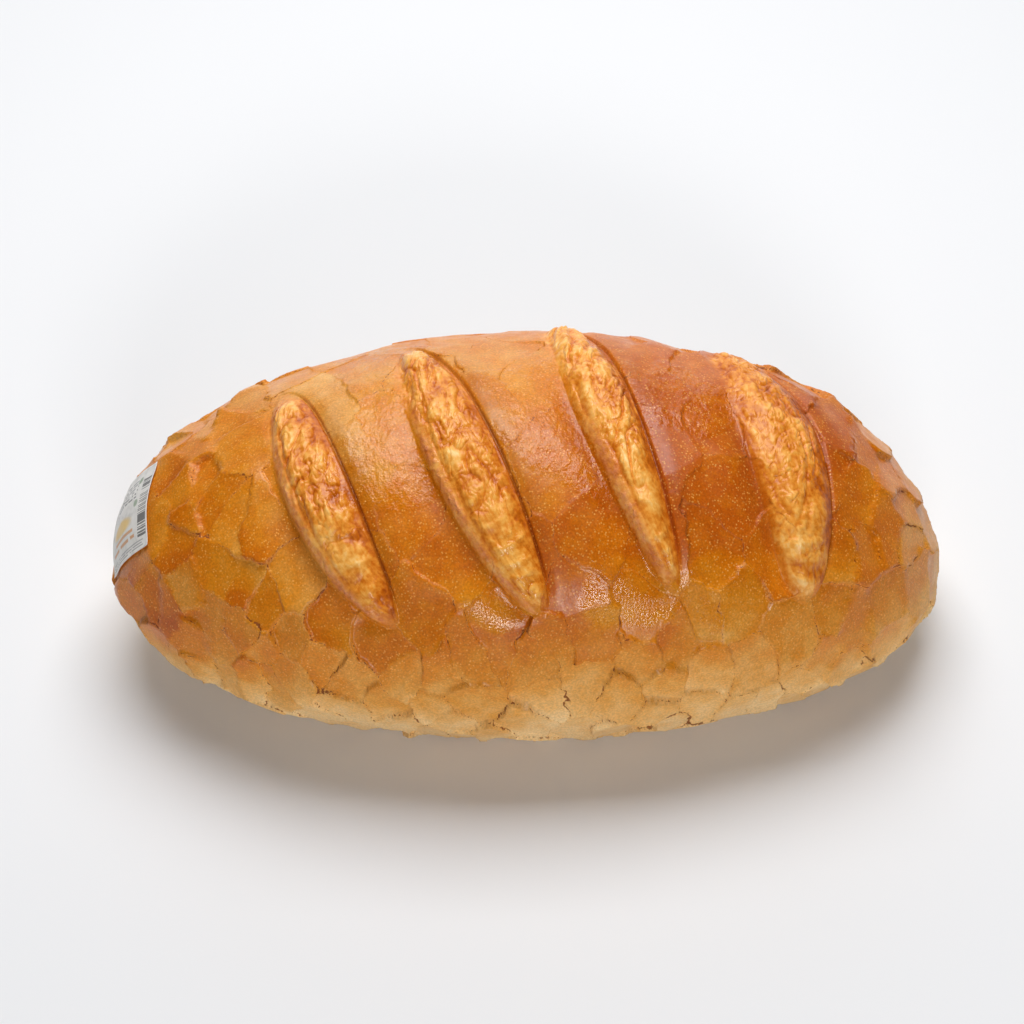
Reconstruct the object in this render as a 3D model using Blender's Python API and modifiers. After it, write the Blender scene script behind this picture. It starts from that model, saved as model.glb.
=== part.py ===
"""An oval hearth loaf with four slanting scores and a paper label on its left end.

Metres, +Z up. The loaf stands on its flat base at z = 0. Its length runs along X, the label is on
its -X end, and its front faces -Y. The origin is the middle of the base.
"""

import math
import random
from collections import namedtuple

import bmesh
import bpy
import numpy as np
from mathutils import Matrix, Vector, kdtree, noise

# Overall size of the plain body
HALF_LENGTH = 0.140
HALF_WIDTH = 0.074
CROWN = 0.0653  # height of the crust above the widest line, at mid length
BELLY = 0.050  # reach of the lower half below the widest line, before the base cuts it
CROWN_ROUNDNESS = 2.05  # superellipse powers: 2 is an ellipse, more is boxier
BELLY_ROUNDNESS = 2.3
RIGHT_BLUNTNESS = 0.22  # how much boxier than an ellipse each end is, seen from above
LEFT_BLUNTNESS = 0.32
WAIST_HEIGHT = 0.0365  # height of the widest line above the floor, at mid length
LEFT_TIP_HEIGHT = 0.034
RIGHT_TIP_HEIGHT = 0.018
BASE_EDGE = 0.003  # radius where the belly turns into the flat base

# The girth of the crust is measured from the crest, positive down the front, on this radius
GIRTH_RADIUS = 0.068

# Each cut runs from its top on the back to its foot on the front: (distance along X, girth),
# bows sideways towards +X by bow, is twice half_width across at its fullest share of the length,
# and has a sharp fold of depth crease on its right
Score = namedtuple("Score", "top foot bow half_width fullest crease")
SCORES = (
    Score((-0.080, -0.018), (-0.0445, 0.0735), -0.0050, 0.0102, 0.45, 0.0020),
    Score((-0.0395, -0.036), (0.0025, 0.0740), -0.0032, 0.0114, 0.50, 0.0022),
    Score((0.0105, -0.054), (0.0445, 0.0640), -0.0015, 0.0098, 0.42, 0.0021),
    Score((0.062, -0.044), (0.0865, 0.0620), 0.0085, 0.0136, 0.48, 0.0014),
)
END_BLUNTNESS = 0.50  # power of the cuts' outline: 1 is a slim eye, less is blunter at the ends
VALLEY_DEPTH = 0.0022  # soft fold on the left of each, from its middle down
SHOULDER_RISE = 0.0008  # crust that stands up beside the sharp fold
RIDGE_RISE = 0.0032  # opened dough that wells up between the folds
LUMP_RISE = 0.0009  # folds and beads of the opened dough

# Crackled crust: plates like scales, each almost flat
PLATE_SPACING_SIDE = 0.0150
PLATE_SPACING_LEFT = 0.0115
PLATE_SPACING_TOP = 0.0270
PLATE_RANGE = (0.60, 1.25)  # how uneven the spacing is
PLATE_TILT = 0.075
PLATE_STRETCH = 1.3  # how much longer the plates are round the girth than along the loaf
PLATE_DARTS = 2600
PLATE_SEED = 11
PLATE_LIFT_LIMIT = 0.0022
BORDER_BEND = 0.0034  # how far the borders between plates wander
SWELL_RISE = 0.0011  # slow waves of the whole crust
SWELL_LENGTH = 0.045

# The label is paper baked onto the left end
LABEL_LONG = 0.0315
LABEL_WIDE = 0.028
LABEL_THICKNESS = 0.0004
LABEL_GAP = 0.0010
LABEL_GRID = (15, 13)
LABEL_MIDDLE = (-0.1329, -0.0030, 0.0549)
LABEL_TURN = -0.30  # radians its bar side leans from level
LABEL_LEAN = 0.48  # radians its face leans up from level
LABEL_YAW = 0.05  # radians its face turns from -X to the front
LABEL_CALM = 0.024  # distance from its middle over which the crust under it lies calmer

# Mesh resolution
CUTS_ALONG = 240
CUTS_AROUND = 72
LOAF_TRIANGLES = 9200


def smoothstep(value, low, high):
    """0 below low, 1 above high and an S curve between them."""
    part = np.clip((value - low) / (high - low), 0.0, 1.0)
    return part * part * (3.0 - 2.0 * part)


def bump(value, middle, below, above):
    """A bell that is 1 at middle, with its own width on each side."""
    width = np.where(value < middle, below, above)
    return np.exp(-(((value - middle) / width) ** 2))


def perlin(points, size, shift=0.0):
    """Blender's gradient noise at each point, from about -1 to 1, with features about size across."""
    return np.array([noise.noise(place) for place in (points / size + shift).tolist()])


def end_taper(along):
    """How much of the mid section is left at a share -1 to 1 of the half length."""
    power = 2.0 + RIGHT_BLUNTNESS * np.clip((along - 0.35) / 0.35, 0.0, 1.0)
    power += LEFT_BLUNTNESS * np.clip((-along - 0.75) / 0.2, 0.0, 1.0)
    return np.sqrt(np.maximum(0.0, 1.0 - np.abs(along) ** power))


def body_points(directions):
    """The smooth body: each unit direction goes to its place on the loaf before any relief."""
    along = directions[:, 0]
    taper = end_taper(along)
    turn = np.arctan2(-directions[:, 1], directions[:, 2])
    across, up = -np.sin(turn), np.cos(turn)
    upper = up > 0
    power = np.where(upper, CROWN_ROUNDNESS, BELLY_ROUNDNESS)
    reach = np.where(upper, CROWN, BELLY)
    y = HALF_WIDTH * taper * np.sign(across) * np.abs(across) ** (2 / power)
    z = reach * taper * np.sign(up) * np.abs(up) ** (2 / power)
    tip = np.where(along < 0, LEFT_TIP_HEIGHT, RIGHT_TIP_HEIGHT)
    z += tip + (WAIST_HEIGHT - tip) * taper
    edge = (np.clip(z, -BASE_EDGE, BASE_EDGE) + BASE_EDGE) ** 2 / (4 * BASE_EDGE)
    z = np.where(z > BASE_EDGE, z, edge)
    return np.column_stack((HALF_LENGTH * along, y, z))


def body_normals(directions):
    """Outward normals of the smooth body, from small steps to each side."""
    step = 1e-4
    helper = np.where(np.abs(directions[:, 2:3]) < 0.9, (0.0, 0.0, 1.0), (0.0, 1.0, 0.0))
    east = np.cross(helper, directions)
    east /= np.linalg.norm(east, axis=1, keepdims=True)
    north = np.cross(directions, east)

    def nudged(offset):
        moved = directions + step * offset
        return body_points(moved / np.linalg.norm(moved, axis=1, keepdims=True))

    normal = np.cross(nudged(east) - nudged(-east), nudged(north) - nudged(-north))
    length = np.linalg.norm(normal, axis=1, keepdims=True)
    return normal / np.maximum(length, 1e-12)


def crust_place(directions):
    """(distance along X, girth from the crest) of each direction, both in metres."""
    turn = np.arctan2(-directions[:, 1], directions[:, 2])
    taper = end_taper(directions[:, 0])
    return HALF_LENGTH * directions[:, 0], GIRTH_RADIUS * taper * turn


def in_score(score, along, girth):
    """Place in one cut: share of its length, and metres inside its left and right edges."""
    run = np.subtract(score.foot, score.top)
    length = np.hypot(*run)
    forward, right = run / length, (run[1] / length, -run[0] / length)
    x, g = along - score.top[0], girth - score.top[1]
    share = (x * forward[0] + g * forward[1]) / length
    bounded = np.clip(share, 0.0, 1.0)
    offset = x * right[0] + g * right[1] - 4 * score.bow * bounded * (1 - bounded)
    skew = math.log(0.5) / math.log(score.fullest)
    half = score.half_width * np.sin(math.pi * bounded**skew) ** END_BLUNTNESS
    return share, offset + half, half - offset


def dough_lumps(share, left, right, number):
    """Folds and beads of the opened dough: rounded lumps with creases between them."""
    beads = np.column_stack((left / 0.0075, share * 9.0, np.full_like(share, 5.0 * number)))
    wander = 0.35 * np.column_stack((perlin(beads, 0.9), perlin(beads, 0.8, 7.3), 0 * share))
    cells = [noise.voronoi(place)[0] for place in (beads + wander).tolist()]
    nearest = np.array([(near[0], near[1]) for near in cells])
    return smoothstep(nearest[:, 1] - nearest[:, 0], 0.0, 0.45) + 0.5 * perlin(beads, 0.6, 3.1)


def score_relief(along, girth):
    """(height, openness) that the four cuts give to the crust."""
    height = np.zeros_like(along)
    openness = np.zeros_like(along)
    for number, score in enumerate(SCORES):
        share, left, right = in_score(score, along, girth)
        near = (share > -0.15) & (share < 1.15) & (left > -0.02) & (right > -0.02)
        share, left, right = share[near], left[near], right[near]
        fade = smoothstep(share, -0.02, 0.14) * smoothstep(1.02 - share, 0.0, 0.12)
        inside = smoothstep(left, -0.0004, 0.0022) * smoothstep(right, -0.0004, 0.0022) * fade
        middle = 4 * np.clip(left, 0, 1) * np.clip(right, 0, 1) / np.maximum((left + right) ** 2, 1e-9)
        rise = -VALLEY_DEPTH * bump(left, -0.0006, 0.0060, 0.0022) * smoothstep(share, 0.20, 0.55)
        rise -= score.crease * bump(right, 0.0004, 0.0016, 0.0034)
        rise += SHOULDER_RISE * bump(right, -0.0046, 0.0068, 0.0030)
        rise += RIDGE_RISE * inside * np.sqrt(middle)
        rise += LUMP_RISE * inside * dough_lumps(share, left, right, number)
        height[near] += rise * fade
        openness[near] = np.maximum(openness[near], inside)
    return height, openness


def plate_spacing(point):
    """Distance between neighbouring plates: small at the left end, large on top."""
    top = smoothstep(point[2], 0.060, 0.090) * smoothstep(-point[0], -0.125, -0.095)
    left = smoothstep(-point[0], 0.080, 0.105)
    spacing = PLATE_SPACING_SIDE + (PLATE_SPACING_TOP - PLATE_SPACING_SIDE) * top
    return spacing + (PLATE_SPACING_LEFT - spacing) * left


def crust_plates():
    """Middles and slightly tilted normals of the plates, spread by throwing darts at the body."""
    drawn = random.Random(PLATE_SEED)
    darts = np.array([[drawn.gauss(0, 1) for _ in range(3)] for _ in range(PLATE_DARTS)])
    darts /= np.linalg.norm(darts, axis=1, keepdims=True)
    points, normals = body_points(darts), body_normals(darts)
    kept = []
    for number, point in enumerate(points):
        gaps = np.linalg.norm((points[kept] - point) * (PLATE_STRETCH, 1.0, 1.0), axis=1)
        if not kept or gaps.min() > plate_spacing(point) * drawn.uniform(*PLATE_RANGE):
            kept.append(number)
    tilt = np.array([[drawn.gauss(0, PLATE_TILT) for _ in range(3)] for _ in kept])
    tilted = normals[kept] + tilt
    return points[kept], tilted / np.linalg.norm(tilted, axis=1, keepdims=True)


def plate_relief(points, normals):
    """How far each point rises to lie on the flat plate that it belongs to."""
    middles, faces = crust_plates()
    stretch = (PLATE_STRETCH, 1.0, 1.0)
    tree = kdtree.KDTree(len(middles))
    for number, middle in enumerate(middles * stretch):
        tree.insert(middle, number)
    tree.balance()
    wander = [perlin(points, 0.012, shift) for shift in (0.0, 17.7, 31.9)]
    sought = points + BORDER_BEND * np.column_stack(wander)
    found = [tree.find_n(place, 2) for place in (sought * stretch).tolist()]
    first = np.array([near[0][1] for near in found])
    second = np.array([near[1][1] for near in found])
    gap = np.array([near[1][2] - near[0][2] for near in found])

    def lift(plate):
        above = np.einsum("ij,ij->i", middles[plate] - points, faces[plate])
        slope = np.maximum(np.einsum("ij,ij->i", normals, faces[plate]), 0.5)
        return np.clip(above / slope, -PLATE_LIFT_LIMIT, PLATE_LIFT_LIMIT)

    share = 0.5 + 0.5 * smoothstep(gap, 0.0, 0.0018)
    return share * lift(first) + (1 - share) * lift(second)


def loaf_surface(directions):
    """Every point of the finished loaf: the body, its cuts, its plates and its slow waves."""
    points, normals = body_points(directions), body_normals(directions)
    along, girth = crust_place(directions)
    cut, openness = score_relief(along, girth)
    off_base = smoothstep(points[:, 2], 0.0005, 0.010)
    calm_top = 1.0 - 0.82 * smoothstep(points[:, 2], 0.066, 0.086) * smoothstep(points[:, 0], -0.100, -0.080)
    to_label = np.linalg.norm(points - np.array(LABEL_MIDDLE), axis=1)
    under_label = 1.0 - 0.75 * smoothstep(LABEL_CALM - to_label, 0.0, 0.006)
    plates = plate_relief(points, normals) * calm_top * (1.0 - openness) * under_label
    swell = SWELL_RISE * perlin(points, SWELL_LENGTH, 4.4) * (1.0 - openness)
    height = (cut + plates + swell) * off_base
    return points + height[:, None] * normals


def plain_material(name, colour, roughness):
    material = bpy.data.materials.new(name)
    material.use_nodes = True
    shader = material.node_tree.nodes["Principled BSDF"]
    shader.inputs["Base Color"].default_value = (*colour, 1.0)
    shader.inputs["Roughness"].default_value = roughness
    return material


def new_collection(name):
    collection = bpy.data.collections.new(name)
    bpy.context.scene.collection.children.link(collection)
    return collection


def cube_directions(mesh):
    """Turns the points of a cut-up cube into unit directions, spread almost evenly."""
    x, y, z = np.clip(np.array([corner.co for corner in mesh.vertices]), -1.0, 1.0).T
    spread = np.column_stack(
        (
            x * np.sqrt(1 - y**2 / 2 - z**2 / 2 + y**2 * z**2 / 3),
            y * np.sqrt(1 - z**2 / 2 - x**2 / 2 + z**2 * x**2 / 3),
            z * np.sqrt(1 - x**2 / 2 - y**2 / 2 + x**2 * y**2 / 3),
        )
    )
    return spread / np.linalg.norm(spread, axis=1, keepdims=True)


def make_loaf(collection, material):
    """A cube cut into a fine net, moved onto the loaf's surface, then thinned out."""
    net = bmesh.new()
    bmesh.ops.create_cube(net, size=2.0)
    long_edges = [edge for edge in net.edges if abs(edge.verts[0].co.x - edge.verts[1].co.x) > 1]
    thirds = CUTS_ALONG // CUTS_AROUND - 1
    bmesh.ops.subdivide_edges(net, edges=long_edges, cuts=thirds, use_grid_fill=True)
    bmesh.ops.subdivide_edges(net, edges=net.edges[:], cuts=CUTS_AROUND, use_grid_fill=True)
    mesh = bpy.data.meshes.new("loaf")
    net.to_mesh(mesh)
    net.free()
    surface = loaf_surface(cube_directions(mesh))
    mesh.vertices.foreach_set("co", surface.astype(np.float32).ravel())
    mesh.materials.append(material)
    loaf = bpy.data.objects.new("loaf", mesh)
    collection.objects.link(loaf)
    thin = loaf.modifiers.new("thin out", "DECIMATE")
    mesh.calc_loop_triangles()
    thin.ratio = LOAF_TRIANGLES / len(mesh.loop_triangles)
    thin.use_collapse_triangulate = True
    mesh.shade_smooth()
    return loaf


def make_label(collection, material, loaf):
    """A sheet of paper pressed onto the left end of the loaf."""
    bpy.ops.mesh.primitive_grid_add(x_subdivisions=LABEL_GRID[0], y_subdivisions=LABEL_GRID[1], size=1.0)
    label = bpy.context.object
    label.name = label.data.name = "label"
    for corner in label.data.vertices:
        corner.co = Vector((corner.co.x * LABEL_LONG, corner.co.y * LABEL_WIDE, 0.0))
    level = Vector((-math.cos(LABEL_YAW), -math.sin(LABEL_YAW), 0.0))
    outward = level * math.cos(LABEL_LEAN) + Vector((0.0, 0.0, math.sin(LABEL_LEAN)))
    long_side = outward.cross(Vector((0.0, 0.0, 1.0))).normalized()
    turned = long_side * math.cos(LABEL_TURN) + outward.cross(long_side) * math.sin(LABEL_TURN)
    short_side = outward.cross(turned)
    facing = Matrix((turned, short_side, outward)).transposed().to_4x4()
    label.matrix_world = Matrix.Translation(Vector(LABEL_MIDDLE) + outward * 0.010) @ facing
    label.data.materials.append(material)
    for old in label.users_collection:
        old.objects.unlink(label)
    collection.objects.link(label)
    press = label.modifiers.new("press on", "SHRINKWRAP")
    press.target = loaf
    press.wrap_method = "PROJECT"
    press.use_project_z = True
    press.use_negative_direction = True
    press.use_positive_direction = True
    press.offset = LABEL_GAP
    paper = label.modifiers.new("paper", "SOLIDIFY")
    paper.thickness = LABEL_THICKNESS
    paper.offset = 1.0
    return label


def main():
    for item in list(bpy.data.objects):
        bpy.data.objects.remove(item)
    parts = new_collection("scored_loaf")
    crust = plain_material("crust", (0.52, 0.23, 0.045), 0.45)
    paper = plain_material("label_paper", (0.72, 0.72, 0.70), 0.6)
    loaf = make_loaf(parts, crust)
    make_label(parts, paper, loaf)


main()
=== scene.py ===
# %% [markdown]
# # An oval hearth loaf with four scores and a paper label
#
# The loaf was proved, cut four times across its crown and baked on a flat floor. Its skin dried to
# a hard, glossy crust. As the loaf cooled and shrank, the crust crackled into plates, and the cuts
# had already opened into ridges of paler dough. A paper label is baked onto the left end.
#
# We first load the plain solids, which fix where everything is, and then build the finished loaf
# and label around them. All lengths are in metres.

import math
import random
from collections import namedtuple

import bmesh
import bpy
import numpy as np
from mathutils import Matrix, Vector, bvhtree, kdtree, noise


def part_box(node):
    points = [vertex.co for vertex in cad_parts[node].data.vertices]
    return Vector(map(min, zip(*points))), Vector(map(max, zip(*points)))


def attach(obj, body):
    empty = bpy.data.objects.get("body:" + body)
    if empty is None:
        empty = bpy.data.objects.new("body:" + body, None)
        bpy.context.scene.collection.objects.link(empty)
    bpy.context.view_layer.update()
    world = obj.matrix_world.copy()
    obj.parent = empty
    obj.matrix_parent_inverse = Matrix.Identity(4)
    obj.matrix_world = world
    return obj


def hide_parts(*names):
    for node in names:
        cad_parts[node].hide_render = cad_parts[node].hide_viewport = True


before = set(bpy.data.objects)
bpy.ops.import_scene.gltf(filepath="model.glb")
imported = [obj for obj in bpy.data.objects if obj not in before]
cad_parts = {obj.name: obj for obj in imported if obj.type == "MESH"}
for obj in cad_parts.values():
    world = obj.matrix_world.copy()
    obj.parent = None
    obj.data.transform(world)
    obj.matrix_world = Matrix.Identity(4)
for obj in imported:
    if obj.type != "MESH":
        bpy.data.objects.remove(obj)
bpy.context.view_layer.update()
loaf_low, loaf_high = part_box("loaf")
print("nodes:", sorted(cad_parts))

# %% [markdown]
# ## The camera
#
# The picture was taken with a long lens from half above: the floor is seen at 45 degrees. A long
# lens from far away keeps both ends of the loaf the same size, so we use 100 mm. The camera is
# placed by the direction it looks from, its distance and the point that it aims at.

# %% Camera
CAMERA_HEIGHT_ANGLE = math.radians(45)
CAMERA_SIDE_ANGLE = math.radians(-2.2)
CAMERA_DISTANCE = 0.955
CAMERA_AIM = Vector((-0.005, 0.0, 0.0497))
CAMERA_LENS = 100

scene = bpy.context.scene


def toward(side_angle, height_angle):
    """Unit direction from the loaf to something seen at these angles; 0, 0 is straight in front."""
    level = math.cos(height_angle)
    return Vector((math.sin(side_angle) * level, -math.cos(side_angle) * level, math.sin(height_angle)))


def point_at(item, place, aim):
    """Puts a camera or light at a place and turns it to face the aim."""
    item.location = place
    item.rotation_euler = (aim - place).to_track_quat("-Z", "Y").to_euler()


lens = bpy.data.cameras.new("camera")
lens.lens = CAMERA_LENS
camera = bpy.data.objects.new("camera", lens)
scene.collection.objects.link(camera)
camera_place = CAMERA_AIM + CAMERA_DISTANCE * toward(CAMERA_SIDE_ANGLE, CAMERA_HEIGHT_ANGLE)
point_at(camera, camera_place, CAMERA_AIM)
scene.camera = camera
print("camera at", [round(value, 3) for value in camera_place])

# %% [markdown]
# ## Light and floor
#
# The loaf lies on a white floor under one broad soft lamp, which hangs above and slightly behind
# it: the shadow falls straight down and peeps out under the front. A second, low soft lamp in front
# brightens the foot of the loaf and makes the small highlights on the lower plates. The room is
# white straight behind the loaf and dim everywhere else. So the crown's far edge gets a pale sheen,
# while the plates at the ends stay deep orange. The colours are shown as they are, without a film
# look, so the view transform is Standard.

# %% Lamps
LAMP_AIM = (0.0, 0.0, 0.04)
Lamp = namedtuple("Lamp", "place size power colour")
TOP_LAMP = Lamp((0.01, 0.45, 1.05), (0.95, 0.64), 13.6, (1.0, 1.0, 1.0))
FRONT_LAMP = Lamp((0.10, -1.10, 0.52), (0.40, 0.16), 5.8, (1.0, 0.99, 0.98))


def soft_lamp(name, lamp):
    """A rectangular area light that faces the middle of the loaf."""
    light = bpy.data.lights.new(name, "AREA")
    light.shape = "RECTANGLE"
    light.size, light.size_y = lamp.size
    light.energy = lamp.power
    light.color = lamp.colour
    item = bpy.data.objects.new(name, light)
    scene.collection.objects.link(item)
    point_at(item, Vector(lamp.place), Vector(LAMP_AIM))


soft_lamp("top_lamp", TOP_LAMP)
soft_lamp("front_lamp", FRONT_LAMP)
print("lamps:", TOP_LAMP.power, "W above and", FRONT_LAMP.power, "W in front")

# %% [markdown]
# The room, the crust and the label are all made of shader nodes, and small helpers keep that code
# short. Most of them add one node to a tree, take plain numbers or other nodes' outputs, and give
# back the new node's output.

# %% Node helpers
def new_material(name):
    """An empty node material with its Principled shader."""
    material = bpy.data.materials.new(name)
    material.use_nodes = True
    return material, material.node_tree, material.node_tree.nodes["Principled BSDF"]


def plug(tree, socket, value):
    """Links a socket to another node's output, or sets it to a plain value."""
    if isinstance(value, bpy.types.NodeSocket):
        tree.links.new(value, socket)
    else:
        socket.default_value = value


def figure(tree, operation, *values):
    """One Math node."""
    node = tree.nodes.new("ShaderNodeMath")
    node.operation = operation
    for socket, value in zip(node.inputs, values):
        plug(tree, socket, value)
    return node.outputs[0]


def between(tree, value, low, high, start=0.0, end=1.0):
    """Smoothly maps low..high to start..end."""
    node = tree.nodes.new("ShaderNodeMapRange")
    node.interpolation_type = "SMOOTHSTEP"
    for name, number in (("From Min", low), ("From Max", high), ("To Min", start), ("To Max", end)):
        node.inputs[name].default_value = number
    plug(tree, node.inputs["Value"], value)
    return node.outputs["Result"]


def times(tree, first, second):
    """The product of two values."""
    return figure(tree, "MULTIPLY", first, second)


def plus(tree, first, second):
    """The sum of two values."""
    return figure(tree, "ADD", first, second)


def stored(tree, name):
    """The number kept on the mesh under this name."""
    node = tree.nodes.new("ShaderNodeAttribute")
    node.attribute_name = name
    return node.outputs["Fac"]


# %% [markdown]
# The room's brightness is made of two smooth steps of the direction that a ray goes in. One step
# brightens the room towards the back, the other dims it again to the sides. The floor is a large
# white sheet, which is no part of the loaf.

# %% Room and floor
ROOM_FRONT = 0.09
ROOM_BACK = 1.7
ROOM_SIDES = 0.20
ROOM_COLOUR = (0.88, 0.94, 1.0, 1.0)
BACK_FADE = (0.60, 1.0)
SIDE_FADE = (0.20, 0.55)
FLOOR_SIZE = 8.0
FLOOR_COLOUR = (0.82, 0.825, 0.84, 1.0)
FLOOR_ROUGHNESS = 0.9


def room_light():
    """A world that is bright straight behind the loaf and dim to the sides and the front."""
    world = bpy.data.worlds.new("studio_room")
    world.use_nodes = True
    tree = world.node_tree
    looking = tree.nodes.new("ShaderNodeTexCoord")
    parts = tree.nodes.new("ShaderNodeSeparateXYZ")
    tree.links.new(looking.outputs["Generated"], parts.inputs["Vector"])
    to_back = between(tree, parts.outputs["Y"], *BACK_FADE, ROOM_FRONT, ROOM_BACK)
    sideways = figure(tree, "ABSOLUTE", parts.outputs["X"])
    to_sides = between(tree, sideways, *SIDE_FADE, 1.0, ROOM_SIDES)
    tree.links.new(times(tree, to_back, to_sides), tree.nodes["Background"].inputs["Strength"])
    tree.nodes["Background"].inputs["Color"].default_value = ROOM_COLOUR
    return world


scene.world = room_light()
scene.view_settings.view_transform = "Standard"

bpy.ops.mesh.primitive_plane_add(size=FLOOR_SIZE)
floor = bpy.context.object
floor.name = "floor"
floor_paint, _, floor_shader = new_material("floor_paint")
floor_shader.inputs["Base Color"].default_value = FLOOR_COLOUR
floor_shader.inputs["Roughness"].default_value = FLOOR_ROUGHNESS
floor.data.materials.append(floor_paint)
print("room from", ROOM_FRONT, "in front to", ROOM_BACK, "behind, floor", FLOOR_SIZE, "m wide")

# %% [markdown]
# ## The body of the loaf
#
# Without its relief the loaf is a stretched ball: an oval from above, taller above its widest line
# than below it, and cut off flat where it lay on the oven floor. We could squash and clamp a sphere
# by hand, but a formula lets every later step ask where the crust is and which way it faces. So
# each point starts as a direction from the middle, and the formula moves it to the crust.

# %% Body form
HALF_LENGTH = 0.140
HALF_WIDTH = 0.074
CROWN = 0.0653
BELLY = 0.050
CROWN_ROUNDNESS = 2.05
BELLY_ROUNDNESS = 2.3
RIGHT_BLUNTNESS = 0.22
LEFT_BLUNTNESS = 0.32
WAIST_HEIGHT = 0.0365
LEFT_TIP_HEIGHT = 0.034
RIGHT_TIP_HEIGHT = 0.018
BASE_EDGE = 0.003


def smoothstep(value, low, high):
    """0 below low, 1 above high and an S curve between them."""
    part = np.clip((value - low) / (high - low), 0.0, 1.0)
    return part * part * (3.0 - 2.0 * part)


def end_taper(along):
    """How much of the mid section is left at a share -1 to 1 of the half length."""
    power = 2.0 + RIGHT_BLUNTNESS * np.clip((along - 0.35) / 0.35, 0.0, 1.0)
    power += LEFT_BLUNTNESS * np.clip((-along - 0.75) / 0.2, 0.0, 1.0)
    return np.sqrt(np.maximum(0.0, 1.0 - np.abs(along) ** power))


def body_points(directions):
    """The smooth body: each unit direction goes to its place on the loaf before any relief."""
    along = directions[:, 0]
    taper = end_taper(along)
    turn = np.arctan2(-directions[:, 1], directions[:, 2])
    across, up = -np.sin(turn), np.cos(turn)
    upper = up > 0
    power = np.where(upper, CROWN_ROUNDNESS, BELLY_ROUNDNESS)
    reach = np.where(upper, CROWN, BELLY)
    y = HALF_WIDTH * taper * np.sign(across) * np.abs(across) ** (2 / power)
    z = reach * taper * np.sign(up) * np.abs(up) ** (2 / power)
    tip = np.where(along < 0, LEFT_TIP_HEIGHT, RIGHT_TIP_HEIGHT)
    z += tip + (WAIST_HEIGHT - tip) * taper
    edge = (np.clip(z, -BASE_EDGE, BASE_EDGE) + BASE_EDGE) ** 2 / (4 * BASE_EDGE)
    z = np.where(z > BASE_EDGE, z, edge)
    return np.column_stack((HALF_LENGTH * along, y, z))


def body_normals(directions):
    """Outward normals of the smooth body, from small steps to each side."""
    step = 1e-4
    helper = np.where(np.abs(directions[:, 2:3]) < 0.9, (0.0, 0.0, 1.0), (0.0, 1.0, 0.0))
    east = np.cross(helper, directions)
    east /= np.linalg.norm(east, axis=1, keepdims=True)
    north = np.cross(directions, east)

    def nudged(offset):
        moved = directions + step * offset
        return body_points(moved / np.linalg.norm(moved, axis=1, keepdims=True))

    normal = np.cross(nudged(east) - nudged(-east), nudged(north) - nudged(-north))
    length = np.linalg.norm(normal, axis=1, keepdims=True)
    return normal / np.maximum(length, 1e-12)


# %% [markdown]
# The relief needs a fine net of points. A sphere made of rings crowds its points at the poles, so
# we cut up a cube instead and blow it up to a ball: its cells stay nearly even. The loaf is long, so
# the edges along it get four times as many cuts, and the points are pulled round towards the crown,
# where the scores and the gloss are, and away from the flat base.

# %% A fine net of directions
CUTS_AROUND = 132
LENGTH_FACTOR = 4
CROWN_PULL = 0.30


def cube_net():
    """A cube cut into a fine net."""
    net = bmesh.new()
    bmesh.ops.create_cube(net, size=2.0)
    long_edges = [edge for edge in net.edges if abs(edge.verts[0].co.x - edge.verts[1].co.x) > 1]
    bmesh.ops.subdivide_edges(net, edges=long_edges, cuts=LENGTH_FACTOR - 1, use_grid_fill=True)
    bmesh.ops.subdivide_edges(net, edges=net.edges[:], cuts=CUTS_AROUND, use_grid_fill=True)
    return net


def cube_directions(net):
    """Unit directions of the cut-up cube's points, spread almost evenly and pulled to the crown."""
    x, y, z = np.clip(np.array([corner.co for corner in net.verts]), -1.0, 1.0).T
    spread = np.column_stack(
        (
            x * np.sqrt(1 - y**2 / 2 - z**2 / 2 + y**2 * z**2 / 3),
            y * np.sqrt(1 - z**2 / 2 - x**2 / 2 + z**2 * x**2 / 3),
            z * np.sqrt(1 - x**2 / 2 - y**2 / 2 + x**2 * y**2 / 3),
        )
    )
    spread /= np.linalg.norm(spread, axis=1, keepdims=True)
    turn = np.arctan2(-spread[:, 1], spread[:, 2])
    turn -= CROWN_PULL * np.sin(turn)
    girth = np.hypot(spread[:, 1], spread[:, 2])
    return np.column_stack((spread[:, 0], -girth * np.sin(turn), girth * np.cos(turn)))


net = cube_net()
directions = cube_directions(net)
body = body_points(directions)
print(len(net.verts), "points, body", np.round(body.max(0) - body.min(0), 4))

# %% [markdown]
# ## The four scores
#
# The baker drew a blade four times slantwise across the crown. In the oven each cut opened like an
# eye: dough welled up between its lips as a long ridge, with a soft valley on its left and a sharp,
# dark fold on its right, where the crust stands up as a shoulder. We describe each cut on the
# unrolled crust, by its two ends, its bow, its half width, the share of its length where it is
# fullest, the depth of its crease and the share where its raised rim begins. From these every point
# learns how far it is inside the left and right lips, and simple bell curves of those two distances
# make the valley, the fold, the shoulder and the ridge. The last cut has no rim and is the shallowest.

# %% Scores as lines on the crust
GIRTH_RADIUS = 0.068
END_BLUNTNESS = 0.50

Score = namedtuple("Score", "top foot bow half_width fullest crease rim_from")
SCORES = (
    Score((-0.080, -0.018), (-0.0445, 0.0735), -0.0050, 0.0102, 0.45, 0.0034, 0.20),
    Score((-0.0395, -0.036), (0.0025, 0.0740), -0.0032, 0.0114, 0.50, 0.0038, 0.36),
    Score((0.0105, -0.054), (0.0445, 0.0640), -0.0015, 0.0098, 0.42, 0.0036, 0.55),
    Score((0.063, -0.044), (0.0865, 0.0600), 0.0090, 0.0127, 0.48, 0.0024, 1.20),
)


def perlin(points, size, shift=0.0):
    """Blender's gradient noise at each point, from about -1 to 1, with features about size across."""
    return np.array([noise.noise(place) for place in (points / size + shift).tolist()])


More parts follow.
